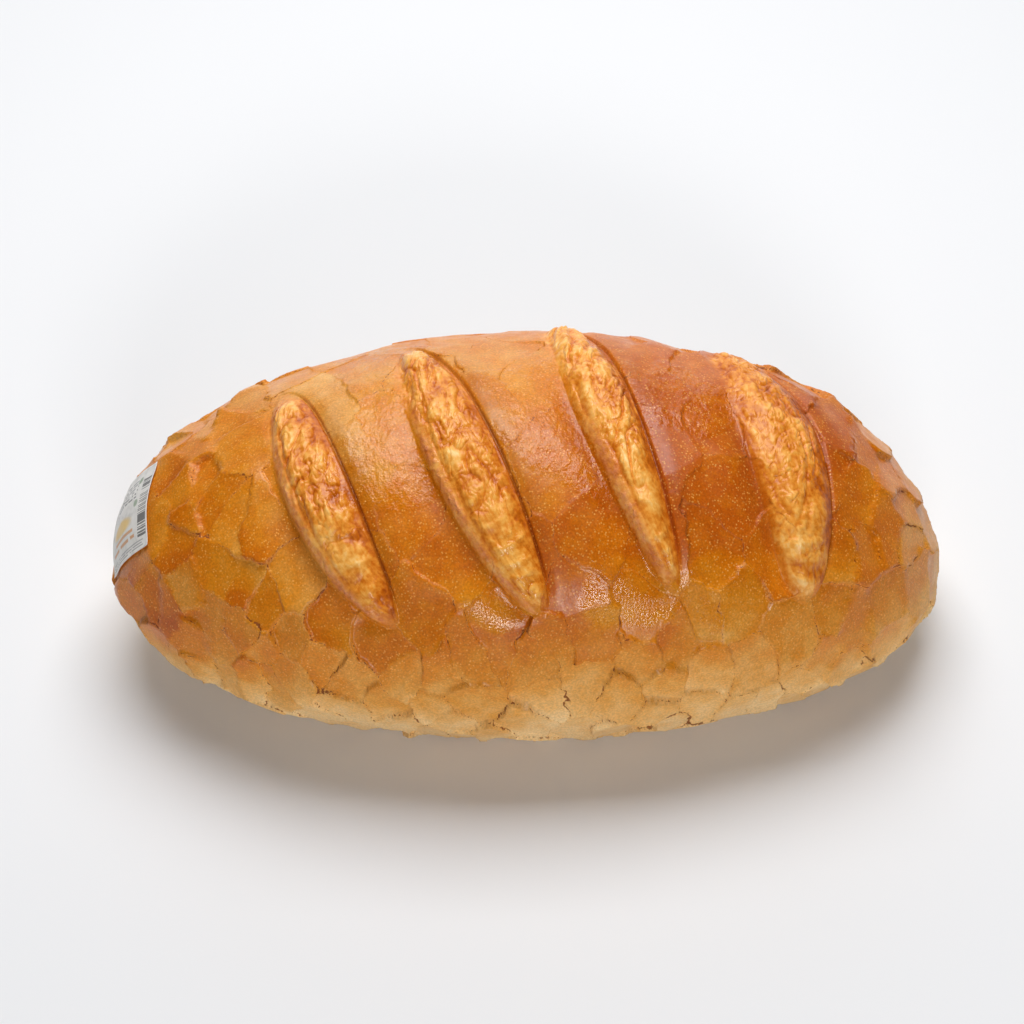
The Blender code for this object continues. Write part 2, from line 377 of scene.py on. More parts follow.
def bell(value, middle, below, above):
    """A bell curve that is 1 at middle, with its own width on each side."""
    width = np.where(value < middle, below, above)
    return np.exp(-(((value - middle) / width) ** 2))


def crust_place(directions):
    """(distance along X, girth from the crest) of each direction, both in metres."""
    turn = np.arctan2(-directions[:, 1], directions[:, 2])
    taper = end_taper(directions[:, 0])
    return HALF_LENGTH * directions[:, 0], GIRTH_RADIUS * taper * turn


def in_score(score, along, girth):
    """Place in one cut: share of its length, metres from its top, and metres inside each lip."""
    run = np.subtract(score.foot, score.top)
    length = np.hypot(*run)
    forward, right = run / length, (run[1] / length, -run[0] / length)
    x, g = along - score.top[0], girth - score.top[1]
    share = (x * forward[0] + g * forward[1]) / length
    bounded = np.clip(share, 0.0, 1.0)
    offset = x * right[0] + g * right[1] - 4 * score.bow * bounded * (1 - bounded)
    skew = math.log(0.5) / math.log(score.fullest)
    half = score.half_width * np.sin(math.pi * bounded**skew) ** END_BLUNTNESS
    return share, share * length, offset + half, half - offset


for number, score in enumerate(SCORES, start=1):
    print("score", number, "runs", round(math.dist(score.top, score.foot) * 1000), "mm")

# %% [markdown]
# The dough in the cuts has far finer folds than the crust. A net fine enough for it all over would
# be four times as heavy, so only the cells in and near the cuts are halved once more.

# %% A finer net in the cuts
CUT_MARGIN = 0.003


def in_cuts(directions):
    """Which directions lie in a cut or just beside it."""
    along, girth = crust_place(directions)
    found = np.zeros(len(directions), bool)
    for score in SCORES:
        share, _, left, right = in_score(score, along, girth)
        found |= (share > -0.05) & (share < 1.05) & (left > -CUT_MARGIN) & (right > -CUT_MARGIN)
    return found


in_cut = in_cuts(directions)
net.verts.index_update()
cut_edges = [edge for edge in net.edges if in_cut[edge.verts[0].index] and in_cut[edge.verts[1].index]]
bmesh.ops.subdivide_edges(net, edges=cut_edges, cuts=1, use_grid_fill=True)
net.verts.index_update()
directions = cube_directions(net)
loaf_mesh = bpy.data.meshes.new("loaf_crust")
net.to_mesh(loaf_mesh)
net.free()
body = body_points(directions)
outward = body_normals(directions)
along, girth = crust_place(directions)
print(len(loaf_mesh.vertices), "points with the finer cuts")

# %% [markdown]
# The opened dough is the most detailed surface of the loaf. It tore and stretched while it was
# soft. Along the left lip runs a raised rim with fine pleats, and a groove parts it from swollen
# lumps on the crest of the ridge. The right side falls as a streaky wall into the fold. Towards the
# foot the lumps give way to folds that curve across like smiles. Folded noise gives the lumps: its
# absolute value rises from sharp creases to round tops. Noise that is stretched along the lips gives
# the pleats and streaks.

# %% Kinds of dough relief
def puffs(across, down, number, wide, tall):
    """Swollen folds of about wide by tall: 0 in the creases between them, about 1 on their tops."""
    slanted = across / wide + 0.3 * down / tall
    place = np.column_stack((slanted, down / tall, np.full_like(down, 5.3 * number)))
    wander = np.column_stack((perlin(place, 1.4), perlin(place, 1.4, 7.3), np.zeros_like(down)))
    return np.clip(np.abs(perlin(place + 0.9 * wander, 1.0, 3.1)) / 0.42, 0.0, 1.0)


def strands(across, down, number, pitch, reach):
    """Folds that run down the cut, pitch apart and about reach long: ridges 1, grooves -1."""
    place = np.column_stack((across / pitch, down / reach, np.full_like(down, 3.7 * number)))
    place[:, 0] += 0.8 * perlin(place * (0.25, 0.8, 1.0), 1.0, 2.2)
    return 1.0 - 3.0 * np.abs(perlin(place, 1.0, 9.1))


# %% [markdown]
# For every point near a cut we first work out the fields that both its height and its colour are
# made from: where it is between the lips, how lumpy the dough is there, and each kind of fold.

# %% Fields of a score
BIG_FOLDS = (0.0062, 0.0105)
SMALL_FOLDS = (0.0030, 0.0048)
FINE_FOLDS = (0.0019, 0.0028)
PLEATS = (0.0021, 0.012)
SMILES = (0.0044, 0.020)
SMILE_BOW = 30

Cut = namedtuple(
    "Cut",
    "share down left right width fade inside part opened core tongue lumpy place patchy "
    "big small fine pleats smiles mottled groove rim",
)


def cut_fields(number, score, along, girth):
    """What the height and the tones of one cut have in common, for each point near it."""
    share, down, left, right = in_score(score, along, girth)
    width = np.maximum(left + right, 1e-6)
    fade = smoothstep(share, -0.03, 0.14) * smoothstep(1.02 - share, 0.0, 0.10)
    lip = smoothstep(share, score.rim_from - 0.15, score.rim_from + 0.10)
    inside = smoothstep(left, -0.0030 + 0.0022 * lip, 0.0034 - 0.0018 * lip)
    inside *= smoothstep(right, -0.0003, 0.0007) * fade
    part = np.clip(left / width, 0.0, 1.0)
    opened = score.rim_from < 1
    core = smoothstep(left, 0.0040 * lip, 0.0022 + 0.0032 * lip) * smoothstep(right, 0.0010, 0.0040)
    tongue = smoothstep(share, 0.66, 0.72) * smoothstep(0.90 - share, 0.0, 0.06)
    tongue *= smoothstep(right, 0.002, 0.004)
    tongue *= opened
    lumpy = core * smoothstep(share, 0.02, 0.10) * (1 - 0.6 * tongue) * (1.0 if opened else 0.65)
    place = np.column_stack((left, down, left * 0 + number))
    patchy = smoothstep(perlin(place, 0.008, 4.4), -0.2, 0.2)
    big = puffs(left, down, number, *BIG_FOLDS)
    small = puffs(left, down, number + 0.37, *SMALL_FOLDS)
    fine = puffs(left, down, number + 0.71, *FINE_FOLDS)
    pleats = strands(np.minimum(left, right), down, number, *PLEATS)
    bowed = down + SMILE_BOW * ((left - right) / 2) ** 2
    smiles = strands(bowed, left, number + 0.2, *SMILES) * smoothstep(share, 0.62, 0.80)
    mottled = perlin(place, 0.0016, 8.1)
    uneven = 0.65 + 0.35 * np.clip(2 * perlin(place, 0.011, 1.9), -1, 1)
    groove = uneven * bell(left, 0.0044, 0.0007, 0.0012) * smoothstep(width, 0.009, 0.015) * lip
    rim_patches = 0.75 + 0.5 * np.clip(perlin(place, 0.007, 6.6), -1, 1)
    rim = bell(left, 0.0020, 0.0017, 0.0016) * lip * rim_patches
    return Cut(
        share, down, left, right, width, fade, inside, part, opened, core, tongue, lumpy, place, patchy,
        big, small, fine, pleats, smiles, mottled, groove, rim,
    )


# %% Height and tones of a score
VALLEY_DEPTH = 0.0022
SHOULDER_RISE = 0.0012
RIDGE_RISE = 0.0034
CREST_DEPTH = 0.44
PUFF_RISE = 0.00100
FOLD_RISE = 0.00055
WRINKLE_RISE = 0.00032
PLEAT_RISE = 0.00016
SMILE_RISE = 0.00045
RIM_RISE = 0.0008
GROOVE_DEPTH = 0.0004
DEEP_CREASE = 0.0034


def cut_rise(score, cut):
    """Height of one cut: valley, crest and shoulder in the crust, rim and folded ridge of dough."""
    share, left, right = cut.share, cut.left, cut.right
    height = -VALLEY_DEPTH * bell(left, -0.0008, 0.0062, 0.0014) * smoothstep(share, 0.20, 0.55)
    crest = bell(right, 0.0001, 0.0006, 0.0030) * smoothstep(0.97 - share, 0.0, 0.15)
    height -= CREST_DEPTH * score.crease * crest
    height += SHOULDER_RISE * score.crease / 0.0050 * bell(right, -0.0042, 0.0070, 0.0032)
    height += RIM_RISE * cut.rim * (1 + 0.6 * cut.mottled) - GROOVE_DEPTH * cut.groove
    ridge = smoothstep(cut.part, 0.0, 0.34) * (1 - 0.55 * smoothstep(cut.part, 0.55, 1.0))
    dough = RIDGE_RISE * ridge * smoothstep(cut.width, 0.0, 0.012) + SMILE_RISE * cut.smiles * cut.core
    dough += PLEAT_RISE * cut.pleats * (1 - 0.7 * cut.lumpy)
    lumps = PUFF_RISE * (cut.big**0.75 - 0.5) + FOLD_RISE * cut.patchy * (cut.small**0.7 - 0.5)
    dough += cut.lumpy * lumps
    dough += cut.core * (1 - 0.8 * cut.tongue) * WRINKLE_RISE * (cut.fine - 0.5)
    height += cut.inside * dough
    return height * cut.fade


def cut_darkness(score, cut):
    """Darkness of the crease, valley and crust beside one cut: part browner crust, part painted shade."""
    share, left, right = cut.share, cut.left, cut.right
    # The crease, the valley and the shade beside the cut are painted shade, partly browner crust too.
    crease = bell(right, -0.0001, 0.0006, 0.0006) * min(1.0, score.crease / DEEP_CREASE)
    crease *= smoothstep(0.95 - share, 0.0, 0.15) * (0.35 + 0.65 * smoothstep(share, 0.15, 0.50))
    valley = 0.55 * bell(left, -0.0010, 0.0050, 0.0008) * smoothstep(share, 0.30, 0.55)
    valley *= smoothstep(0.90 - share, 0.0, 0.2)
    shade = 0.42 * bell(right, -0.0022, 0.0050, 0.0020) * smoothstep(share, 0.08, 0.30)
    shade *= smoothstep(0.92 - share, 0.0, 0.2)
    shade = shade * min(1.0, score.crease / DEEP_CREASE)
    return cut.fade * np.maximum(np.maximum(crease, valley), shade)


def cut_paleness(cut):
    """How pale the dough of one cut is: its own uneven tone plus painted light and shade on its relief.
    """
    place, lumpy = cut.place, cut.lumpy
    # Painted light and shade: paler lump tops and ridges, darker seams, groove and steep wall.
    wall = smoothstep(cut.part, 0.62, 0.95)
    seams = (1 - smoothstep(cut.big, 0.0, 0.14)) * smoothstep(perlin(place, 0.006, 2.7), -0.15, 0.15)
    uneven_tone = np.clip(perlin(place, 0.0075, 5.5) + 0.5 * perlin(place, 0.0032, 6.5), -0.6, 0.6)
    lumps = 0.24 * (cut.big - 0.4) + 0.16 * cut.patchy * (cut.small - 0.4)
    pale = 0.47 + lumpy * lumps - 0.14 * lumpy * seams
    pale += 0.22 * uneven_tone - (0.0 if cut.opened else 0.09 - 0.22 * smoothstep(cut.share, 0.70, 0.90))
    pale += 0.10 * cut.core * (cut.fine - 0.4) + 0.05 * cut.pleats + 0.12 * cut.smiles * cut.core
    pale += 0.08 * cut.tongue - 0.24 * wall - 0.12 * cut.groove
    return pale


# %% All scores together
CUT_MAPS = ("dough", "rim", "fold_brown_and_shade", "dough_pale", "cut_across", "cut_down")


def score_relief(along, girth):
    """Height of all the cuts, and their maps by name; near a cut the maps are that cut's own."""
    height = np.zeros_like(along)
    maps = {name: np.zeros_like(along) for name in CUT_MAPS}
    for number, score in enumerate(SCORES):
        share, _, left, right = in_score(score, along, girth)
        near = (share > -0.15) & (share < 1.15) & (left > -0.022) & (right > -0.022)
        cut = cut_fields(number, score, along[near], girth[near])
        height[near] += cut_rise(score, cut)
        rim = cut.rim * cut.fade * (0.8 + 0.5 * cut.mottled)
        for name, values in zip(CUT_MAPS[:3], (cut.inside, rim, cut_darkness(score, cut))):
            maps[name][near] = np.maximum(maps[name][near], values)
        close = (cut.left > -0.004) & (cut.right > -0.004)
        for name, values in zip(CUT_MAPS[3:], (cut_paleness(cut), cut.left, cut.down + number)):
            maps[name][near] = np.where(close, values, maps[name][near])
    return height, maps


cut_height, cut_maps = score_relief(along, girth)
dough = cut_maps["dough"]
print("cuts go from", round(cut_height.min() * 1000, 1), "to", round(cut_height.max() * 1000, 1), "mm")

# %% [markdown]
# ## The crackled crust
#
# As the loaf cools, the crumb shrinks and the brittle crust breaks into plates like dry mud. Each
# plate stays almost flat, so the loaf looks cut with a chisel. The plates are small and scale-like
# at the left end and along the front, and large on top. We spread plate middles over the crust by
# throwing seeded darts and keeping those that land far enough from the others. A point belongs to
# its nearest middle, which makes Voronoi cells, and it is lifted onto that plate's flat face. Noise
# added to the point before the search makes the borders ragged.

# %% Plates
PLATE_SPACING_SIDE = 0.0150
PLATE_SPACING_LEFT = 0.0115
PLATE_SPACING_TOP = 0.0270
PLATE_TILT = 0.075
PLATE_STRETCH = 1.3
PLATE_DARTS = 2600
PLATE_RANGE = (0.60, 1.25)
PLATE_SEED = 11
PLATE_LIFT_LIMIT = 0.0022
PLATE_STEP = 0.00028
BORDER_BLEND = 0.00028
SWELL_RISE = 0.0011
SWELL_LENGTH = 0.045


def plate_spacing(point):
    """Distance between neighbouring plates: small at the left end, large on top."""
    top = smoothstep(point[2], 0.060, 0.090) * smoothstep(-point[0], -0.125, -0.095)
    left = smoothstep(-point[0], 0.080, 0.105)
    spacing = PLATE_SPACING_SIDE + (PLATE_SPACING_TOP - PLATE_SPACING_SIDE) * top
    return spacing + (PLATE_SPACING_LEFT - spacing) * left


def crust_plates():
    """Middles and slightly tilted normals of the plates, spread by throwing darts at the body."""
    drawn = random.Random(PLATE_SEED)
    darts = np.array([[drawn.gauss(0, 1) for _ in range(3)] for _ in range(PLATE_DARTS)])
    darts /= np.linalg.norm(darts, axis=1, keepdims=True)
    points, normals = body_points(darts), body_normals(darts)
    kept = []
    for number, point in enumerate(points):
        gaps = np.linalg.norm((points[kept] - point) * (PLATE_STRETCH, 1.0, 1.0), axis=1)
        if not kept or gaps.min() > plate_spacing(point) * drawn.uniform(*PLATE_RANGE):
            kept.append(number)
    tilt = np.array([[drawn.gauss(0, PLATE_TILT) for _ in range(3)] for _ in kept])
    tilted = normals[kept] + tilt
    return points[kept], tilted / np.linalg.norm(tilted, axis=1, keepdims=True)


plate_middles, plate_faces = crust_plates()
print(len(plate_middles), "plates")

# %% [markdown]
# A plain Voronoi border is straight. Two sizes of noise bend it: slow bends of a few millimetres
# and fine teeth of a few tenths. Each plate also gets its own small step up or down and its own
# tone, because plates dried and browned unevenly.

# %% Which plate a point is on
BORDER_BEND = 0.0034
BORDER_TEETH = 0.0011


def ragged(points):
    """The points pushed about by noise, so that the borders between plates are ragged."""
    bend = np.column_stack([perlin(points, 0.012, shift) for shift in (0.0, 17.7, 31.9)])
    teeth = np.column_stack([perlin(points, 0.0028, shift) for shift in (5.1, 23.3, 41.9)])
    return points + BORDER_BEND * bend + BORDER_TEETH * teeth


def nearest_plates(points):
    """The nearest and second nearest plate of each point, and how much further the second is."""
    stretch = (PLATE_STRETCH, 1.0, 1.0)
    tree = kdtree.KDTree(len(plate_middles))
    for number, middle in enumerate(plate_middles * stretch):
        tree.insert(middle, number)
    tree.balance()
    found = [tree.find_n(place, 2) for place in (ragged(points) * stretch).tolist()]
    first = np.array([near[0][1] for near in found])
    second = np.array([near[1][1] for near in found])
    gap = np.array([near[1][2] - near[0][2] for near in found])
    return first, second, gap


def plate_lift(points, normals, plate):
    """How far each point rises to lie on the flat face of a plate."""
    above = np.einsum("ij,ij->i", plate_middles[plate] - points, plate_faces[plate])
    slope = np.maximum(np.einsum("ij,ij->i", normals, plate_faces[plate]), 0.5)
    return np.clip(above / slope, -PLATE_LIFT_LIMIT, PLATE_LIFT_LIMIT)


# %% [markdown]
# The net's points fall anywhere, so a border would run as a zigzag between them. To get crisp
# edges, we move the points next to a border onto it. The slope of the gap between the two distances
# tells which way and how far. Only the points on one side move, so no cell folds up.

# %% Points moved onto the borders
SNAP_REACH = 0.00038


def gap_to(points, first, second):
    """How much nearer the first plate's middle is than the second's."""
    stretch = (PLATE_STRETCH, 1.0, 1.0)
    pushed = ragged(points)
    to_first = np.linalg.norm((pushed - plate_middles[first]) * stretch, axis=1)
    return np.linalg.norm((pushed - plate_middles[second]) * stretch, axis=1) - to_first


def moved_to_borders(points, normals, first, second, gap):
    """Moves the points that lie next to a border, on its one side, onto it."""
    near = np.flatnonzero((gap < 2.6 * SNAP_REACH) & (first < second))
    here, facing, one, other = points[near], normals[near], first[near], second[near]
    side = np.cross(facing, (1.0, 0.0, 0.0))
    side /= np.linalg.norm(side, axis=1, keepdims=True)
    axes = (side, np.cross(side, facing))
    step = 0.0001
    travelled = np.zeros_like(here)
    for _ in range(2):
        now = here + travelled
        value = gap_to(now, one, other)
        slope = [(gap_to(now + step * axis, one, other) - value) / step for axis in axes]
        steepness = slope[0] ** 2 + slope[1] ** 2
        for axis, part in zip(axes, slope):
            travelled -= (value * part / np.maximum(steepness, 0.3))[:, None] * axis
    short = np.linalg.norm(travelled, axis=1) < SNAP_REACH
    moved = points.copy()
    moved[near[short]] += travelled[short]
    new_gap = gap.copy()
    new_gap[near[short]] = 0.0
    return moved, new_gap


first_plate, second_plate, border_gap = nearest_plates(body)
body, border_gap = moved_to_borders(body, outward, first_plate, second_plate, border_gap)
print(np.count_nonzero(border_gap == 0), "points lie on borders")

# %% Height and tone of the plates
TONE_LENGTH = 0.013
drawn = random.Random(PLATE_SEED + 1)
plate_tone = np.array([drawn.uniform(-1, 1) for _ in plate_middles])
plate_step = np.array([drawn.gauss(0, PLATE_STEP) for _ in plate_middles])
own_share = 0.5 + 0.5 * smoothstep(border_gap, 0.0, BORDER_BLEND)
lift_first = plate_lift(body, outward, first_plate) + plate_step[first_plate]
lift_second = plate_lift(body, outward, second_plate) + plate_step[second_plate]
plates = own_share * lift_first + (1 - own_share) * lift_second
plate_lean = np.array([[drawn.gauss(0, 1) for _ in range(3)] for _ in plate_middles])
lean = np.einsum("ij,ij->i", body - plate_middles[first_plate], plate_lean[first_plate]) / TONE_LENGTH
tone = plate_tone[first_plate] + np.clip(lean, -1.0, 1.0)
print("plates lift the crust by", np.round([plates.min() * 1000, plates.max() * 1000], 2), "mm")

# %% [markdown]
# ## Putting the loaf together
#
# Near the crest the crust stayed whole and glossy, so the plates fade out there and shallow dents
# take over. They also stop at the lips of the cuts and nearly so under the label. In a few glazed
# spots the skin is leathery, with fine wrinkles. Here and there a border gapes as a short dark
# crack. The base stays exactly flat, and no point leaves the box of the plain solid.

# %% Where the skin differs
LABEL_MIDDLE = np.array((-0.1329, -0.0030, 0.0549))
LABEL_CALM = 0.024
CRACK_WIDTH = 0.00055
GLAZE_SPOTS = (
    (-0.042, 0.012, 0.020),
    (-0.045, -0.020, 0.020),
    (0.012, 0.004, 0.026),
    (0.052, -0.004, 0.014),
    (0.031, 0.060, 0.016),
    (0.056, 0.066, 0.015),
    (-0.010, 0.063, 0.012),
)

x, y, z = body.T
off_base = smoothstep(z, 0.0005, 0.010)
calm_share = 0.82 * smoothstep(x, -0.100, -0.080) - 0.35 * smoothstep(x, 0.030, 0.045)
calm_top = 1.0 - calm_share * smoothstep(z, 0.066, 0.086)
to_label = np.linalg.norm(body - LABEL_MIDDLE, axis=1)
under_label = 1.0 - 0.75 * smoothstep(LABEL_CALM - to_label, 0.0, 0.006)
whole_skin = smoothstep(z, 0.066, 0.088)
crack_seed = perlin(body, 0.017, 3.3) + 0.5 * perlin(body, 0.008, 6.1)
crack_width = CRACK_WIDTH * smoothstep(crack_seed, 0.22, 0.60) * (1 - dough) * (1 - 0.9 * whole_skin)
crack = np.exp(-((border_gap / (crack_width + 0.0001)) ** 2)) * smoothstep(crack_width, 0.0, 0.0003)
glaze = [np.hypot(along - middle, girth - down) / reach for middle, down, reach in GLAZE_SPOTS]
leathery = smoothstep(1.25 - np.min(glaze, axis=0) + 0.5 * perlin(body, 0.014, 9.9), 0.0, 0.35)
print(f"leathery skin covers {leathery.mean():.0%} and cracks {np.mean(crack > 0.5):.1%} of the points")

# %% The finished surface
DENT_DEPTH = 0.00045
SKIN_DEPTH = 0.00015
CRACK_DEPTH = 0.00045
BOX_MARGIN = 0.0012


def held_inside(points, low, high):
    """Presses points that come near the sides or top of a box back, so that none leaves it."""
    low, high = np.array(low), np.array(high)
    over = np.maximum(points - (high - BOX_MARGIN), 0.0)
    points = points - over + BOX_MARGIN * (1 - np.exp(-over / BOX_MARGIN))
    margin = BOX_MARGIN * np.array((1.0, 1.0, 0.0))
    under = np.maximum(low + margin - points, 0.0)
    return points + under - margin * (1 - np.exp(-under / BOX_MARGIN))


dents = perlin(body, 0.020, 1.7) + 0.5 * perlin(body * (2.0, 1.0, 1.0), 0.012, 8.8)
skin = perlin(body * (1.7, 1.0, 1.0), 0.0028, 2.6) + 0.6 * perlin(body * (1.7, 1.0, 1.0), 0.0013, 4.9)

relief = cut_height + SWELL_RISE * perlin(body, SWELL_LENGTH, 4.4) * (1 - dough)
relief += plates * calm_top * (1 - dough) * under_label
relief += DENT_DEPTH * dents * (0.25 + 0.75 * whole_skin) * (1 - dough)
relief += SKIN_DEPTH * skin * (0.12 + 0.88 * leathery * whole_skin) * (1 - dough)
relief -= CRACK_DEPTH * crack
surface = held_inside(body + (relief * off_base)[:, None] * outward, loaf_low, loaf_high)

loaf_mesh.vertices.foreach_set("co", surface.astype(np.float32).ravel())
loaf_mesh.shade_smooth()
loaf = bpy.data.objects.new("loaf_crust", loaf_mesh)
scene.collection.objects.link(loaf)
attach(loaf, "root")
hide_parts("loaf")
print("loaf", np.round(surface.max(0) - surface.min(0), 4), "m")

# %% [markdown]
# ## How brown each place is
#
# Colour on bread is a map of heat and moisture, so we compute it where we know the form: brown rises
# with height above the oven floor, and each plate has its own tone. The folds beside the cuts are
# darkest, partly as browner crust and partly as painted shade. These maps are stored on the points of
# the mesh as attributes, and the material reads them.

# %% Bake map
mottle = perlin(body, 0.030, 12.3) + 0.5 * perlin(body, 0.012, 14.1)
ends = smoothstep(np.abs(x), 0.060, 0.125)
left_end = smoothstep(-x, 0.030, 0.075)
bake = 0.62 * smoothstep(z, 0.004, 0.064 - 0.022 * ends)
bake += 0.26 * smoothstep(z, 0.045, 0.080) * (1 - 0.75 * left_end)
bake += 0.16 * left_end * bell(z, 0.045, 0.016, 0.016)
bake -= 0.26 * smoothstep(-x, -0.03, 0.02) * smoothstep(z, 0.082, 0.100)
bake -= 0.12 * smoothstep(y, 0.000, 0.030)
bake += 0.12 * smoothstep(x, 0.020, 0.045) * whole_skin
bake -= 0.20 * leathery * (1 - whole_skin)
bake = np.clip(bake + 0.06 * mottle + (0.07 + 0.06 * left_end) * tone * (1 - 0.5 * whole_skin), 0, 1)


def keep(name, values):
    """Stores one number for each point of the loaf under a name that the material can read."""
    store = loaf_mesh.attributes.new(name, "FLOAT", "POINT")
    store.data.foreach_set("value", values.astype(np.float32))


for name, values in cut_maps.items():
    keep(name, values)
keep("bake", bake)
keep("leathery", leathery)
keep("gap", border_gap * 1000)
keep("crack_width", crack_width * 1000)
keep("whole_skin", whole_skin)
print("bake map from", round(bake.min(), 2), "to", round(bake.max(), 2))

# %% [markdown]
# ## The crust material
#
# One material covers the loaf. Its colour is a ramp over the bake map, from pale yellow at the foot
# over ochre to deep golden brown. Thin pale lines mark the borders of the plates, and short dark lines
# of painted shade mark the cracks. Fine pale specks and a faint grain lie over the crust. The opened
# dough has its own paler ramp. A few more helpers lay colours and noise over one another.

# %% Colour helpers
def paint(tree, under, over, amount, blend="MIX"):
    """Lays one colour over another."""
    node = tree.nodes.new("ShaderNodeMix")
    node.data_type = "RGBA"
    node.blend_type = blend
    plug(tree, node.inputs["Factor"], amount)
    plug(tree, node.inputs[6], under)
    plug(tree, node.inputs[7], over)
    return node.outputs[2]


def grey(tree, level):
    """A grey colour of the given level."""
    node = tree.nodes.new("ShaderNodeCombineColor")
    for name in ("Red", "Green", "Blue"):
        plug(tree, node.inputs[name], level)
    return node.outputs["Color"]


def linear(red, green, blue):
    """A colour as a screen shows it, 0 to 255, as the linear numbers that a shader wants."""
    shares = [value / 255 for value in (red, green, blue)]
    curved = [share / 12.92 if share < 0.04045 else ((share + 0.055) / 1.055) ** 2.4 for share in shares]
    return (*curved, 1.0)


def ramp(tree, value, stops):
    """A colour ramp through (position, colour) stops."""
    node = tree.nodes.new("ShaderNodeValToRGB")
    elements = node.color_ramp.elements
    while len(elements) < len(stops):
        elements.new(0.5)
    for element, (position, colour) in zip(elements, stops):
        element.position = position
        element.color = linear(*colour)
    plug(tree, node.inputs["Fac"], value)
    return node.outputs["Color"]


def grain(tree, size, detail=3.0, stretch=(1.0, 1.0, 1.0), rough=0.55):
    """Noise over the object's own coordinates, with features about size across."""
    place = tree.nodes.new("ShaderNodeTexCoord")
    scaled = tree.nodes.new("ShaderNodeMapping")
    scaled.inputs["Scale"].default_value = [amount / size for amount in stretch]
    tree.links.new(place.outputs["Object"], scaled.inputs["Vector"])
    node = tree.nodes.new("ShaderNodeTexNoise")
    node.inputs["Scale"].default_value = 1.0
    node.inputs["Detail"].default_value = detail
    node.inputs["Roughness"].default_value = rough
    tree.links.new(scaled.outputs["Vector"], node.inputs["Vector"])
    return node.outputs["Fac"]


def unevenness(tree, size, amount):
    """Noise with features about size across, as minus to plus an amount."""
    return between(tree, grain(tree, size), 0.3, 0.7, -amount, amount)


# %% [markdown]
# The ramp's colours are chosen to match the real loaf in even light, so it is already close before
# any lamp is moved.

# %% Crust colours
CRUST_STOPS = (
    (0.00, (244, 206, 148)),
    (0.20, (236, 184, 112)),
    (0.42, (224, 156, 66)),
    (0.62, (216, 132, 26)),
    (0.82, (206, 112, 12)),
    (1.00, (186, 88, 10)),
)
SKIN_RED = (176, 80, 22)
FOLD_BROWN_AND_SHADE = (126, 46, 14)
BORDER_PALE = (238, 180, 106)
CRACK_SHADE = (120, 50, 8)
SPECK_PALE = (250, 186, 96)
SPECKS_PER_METRE = 1000.0

crust, tree, shader = new_material("baked_crust")
bake_level = plus(tree, stored(tree, "bake"), unevenness(tree, 0.007, 0.08))
colour = ramp(tree, bake_level, CRUST_STOPS)
skin_red = between(tree, grain(tree, 0.020, 2.0), 0.42, 0.62)
skin_red = times(tree, skin_red, stored(tree, "whole_skin"))
colour = paint(tree, colour, linear(*SKIN_RED), times(tree, skin_red, 0.14))
# Painted shade, partly browner crust: the fold map darkens the crease, valley and shoulder of each cut.
colour = paint(tree, colour, linear(*FOLD_BROWN_AND_SHADE), times(tree, stored(tree, "fold_brown_and_shade"), 0.66))

off_dough = figure(tree, "SUBTRACT", 1.0, stored(tree, "dough"))
ragged_gap = plus(tree, stored(tree, "gap"), unevenness(tree, 0.0009, 0.25))
border = between(tree, ragged_gap, 0.05, 0.40, 1.0, 0.0)
border = times(tree, border, between(tree, grain(tree, 0.006), 0.42, 0.60))
border = times(tree, border, between(tree, stored(tree, "whole_skin"), 0.0, 1.0, 1.0, 0.2))
border = times(tree, border, off_dough)
colour = paint(tree, colour, linear(*BORDER_PALE), times(tree, border, 0.42))
# The dark crack lines are painted shade in the gaps between plates.
edge = figure(tree, "SUBTRACT", stored(tree, "crack_width"), ragged_gap)
crack_shade = times(tree, between(tree, edge, -0.08, 0.08), off_dough)
colour = paint(tree, colour, linear(*CRACK_SHADE), times(tree, crack_shade, 0.85))

dots = tree.nodes.new("ShaderNodeTexVoronoi")
dots.inputs["Scale"].default_value = SPECKS_PER_METRE
place = tree.nodes.new("ShaderNodeTexCoord")
tree.links.new(place.outputs["Object"], dots.inputs["Vector"])
specks = between(tree, dots.outputs["Distance"], 0.14, 0.40, 1.0, 0.0)
specks = times(tree, specks, between(tree, grain(tree, 0.0024), 0.36, 0.60))
specks = times(tree, specks, off_dough)
colour = paint(tree, colour, linear(*SPECK_PALE), times(tree, specks, 0.55))
pores = between(tree, grain(tree, 0.0007, 2.0), 0.30, 0.70, 0.85, 1.11)
crust_colour = paint(tree, colour, grey(tree, pores), 1.0, "MULTIPLY")
print("crust colours take", len(tree.nodes), "nodes")

# %% [markdown]
# The opened dough is paler than the crust. Painted light makes it palest on its swollen tops, and
# painted shade darkens its creases and its steep wall. The streaks on its wall need a grain that
# follows the cut, so the mesh carries each point's place across and down its cut, and noise that is
# stretched in that frame gives the streaks.

# %% Opened dough
DOUGH_STOPS = (
    (0.00, (158, 70, 6)),
    (0.25, (200, 104, 16)),
    (0.48, (228, 142, 46)),
    (0.72, (246, 178, 84)),
    (1.00, (255, 212, 140)),
)
RIM_PINK_AND_SHEEN = (222, 140, 98)
DOUGH_FOLD_BROWN_AND_SHADE = (132, 50, 6)


def cut_frame(tree, wide, tall):
    """A place in the cut's own frame, in steps of wide across it and tall down it."""
    joined = tree.nodes.new("ShaderNodeCombineXYZ")
    plug(tree, joined.inputs["X"], figure(tree, "DIVIDE", stored(tree, "cut_across"), wide))
    plug(tree, joined.inputs["Y"], figure(tree, "DIVIDE", stored(tree, "cut_down"), tall))
    return joined.outputs["Vector"]


def streaks(tree, wide, tall):
    """Noise drawn out down the cut."""
    node = tree.nodes.new("ShaderNodeTexNoise")
    node.inputs["Scale"].default_value = 1.0
    node.inputs["Detail"].default_value = 3.0
    tree.links.new(cut_frame(tree, wide, tall), node.inputs["Vector"])
    return node.outputs["Fac"]


